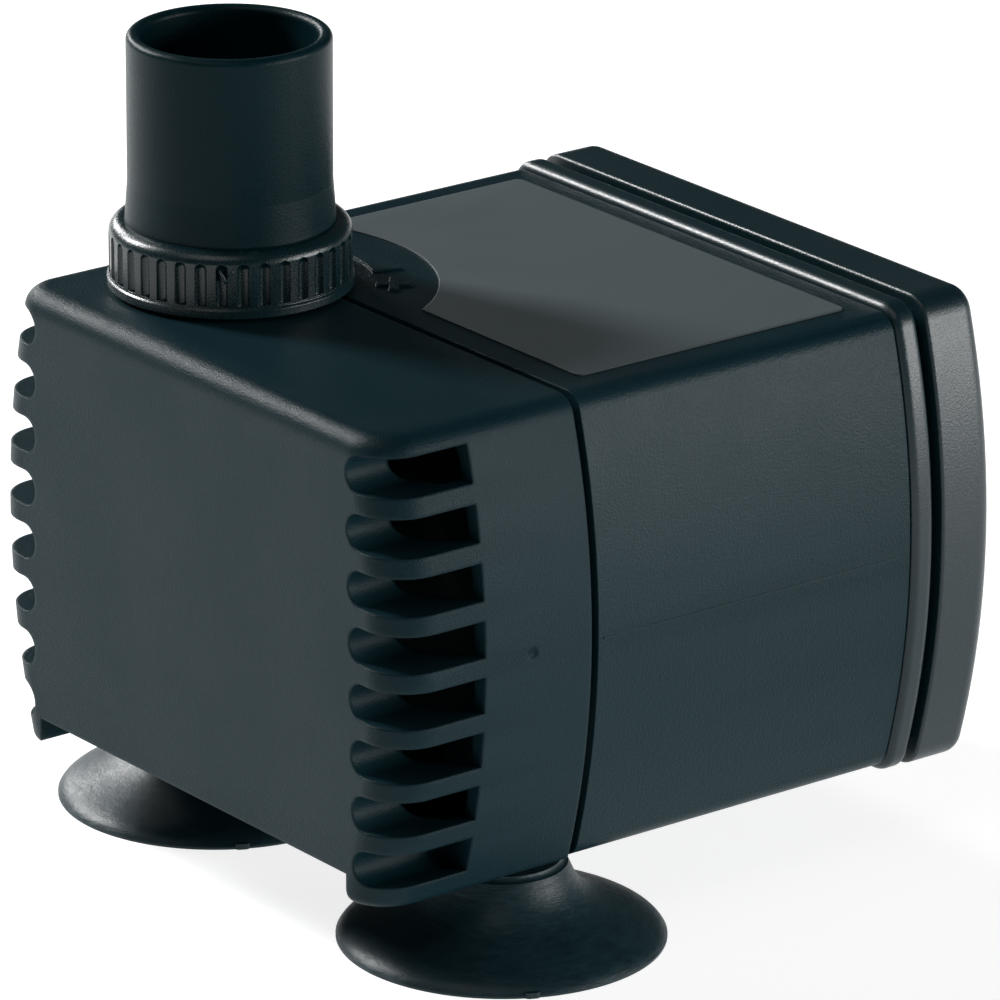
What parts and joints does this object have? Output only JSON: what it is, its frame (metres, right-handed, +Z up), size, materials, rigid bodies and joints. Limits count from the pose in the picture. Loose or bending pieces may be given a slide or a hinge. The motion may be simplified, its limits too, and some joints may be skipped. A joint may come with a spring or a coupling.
{
  "type": "fountain submersible pump",
  "caption": "Small box-shaped submersible fountain pump with a slotted intake cover, upright hose nozzle with a fluted flow ring, and suction-cup feet.",
  "frame": {"origin": "under the middle of the bounding box, on the plane the suction cups stand on", "axes": "+X across the body, away from the side the nozzle is nearer to; +Y from the slotted intake cover to the rear cap; +Z up along the hose nozzle"},
  "size_m": [0.0512, 0.0474, 0.0532],
  "materials": {
    "cover_plastic": "black ABS, fine moulded texture, softly worn edges",
    "housing_plastic": "black ABS, grainy spark-eroded texture",
    "gloss_seal": "smooth glossy black sealing bead",
    "label_film": "dark grey satin film, blank",
    "nozzle_plastic": "black ABS, satin, faint scuffs",
    "foot_rubber": "soft black rubber with a low sheen",
    "inner_plastic": "black ABS",
    "rotor_plastic": "white acetal",
    "seal_rubber": "black nitrile rubber",
    "shaft_steel": "ground stainless steel",
    "magnet_ferrite": "sintered ferrite, dark grey",
    "lamination_steel": "stacked laminations",
    "bobbin_nylon": "natural nylon",
    "coil_copper": "enamelled copper wire",
    "pin_brass": "tinned brass pins",
    "potting_resin": "dark epoxy resin"
  },
  "bodies": {
    "pump_body": {"motor_housing": "housing_plastic", "rear_seal": "gloss_seal", "rear_cap": "housing_plastic", "cable_gland": "seal_rubber", "rating_label": "label_film", "pump_chamber": "inner_plastic", "chamber_seal": "seal_rubber", "chamber_cover": "inner_plastic", "front_bearing": "seal_rubber", "rear_bearing": "seal_rubber", "rotor_shaft": "shaft_steel", "foot_front_left": "foot_rubber", "foot_front_right": "foot_rubber", "foot_rear": "foot_rubber", "stator_core": "lamination_steel", "coil_bobbin_left": "bobbin_nylon", "coil_bobbin_right": "bobbin_nylon", "coil_winding_left": "coil_copper", "coil_winding_right": "coil_copper", "terminal_pins": "pin_brass", "potting_resin": "potting_resin"},
    "cover": {"front_cover": "cover_plastic"},
    "rotor": {"rotor_hub": "rotor_plastic", "rotor_magnet": "magnet_ferrite", "impeller": "rotor_plastic"},
    "flow_regulator": {"hose_nozzle": "nozzle_plastic", "nozzle_o_ring": "seal_rubber", "regulator_ring": "nozzle_plastic"}
  },
  "joints": [
    {"name": "cover_slide", "type": "slide", "parent": "pump_body", "child": "cover", "axis": [0, -1, 0], "range_m": [0, 0.018]},
    {"name": "rotor_spin", "type": "hinge", "parent": "pump_body", "child": "rotor", "pos_m": [0, -0.002, 0.02113], "axis": [0, 1, 0], "continuous": true},
    {"name": "flow_turn", "type": "hinge", "parent": "pump_body", "child": "flow_regulator", "pos_m": [-0.01065, -0.0126, 0.038], "axis": [0, 0, 1], "range_deg": [0, 88]}
  ]
}
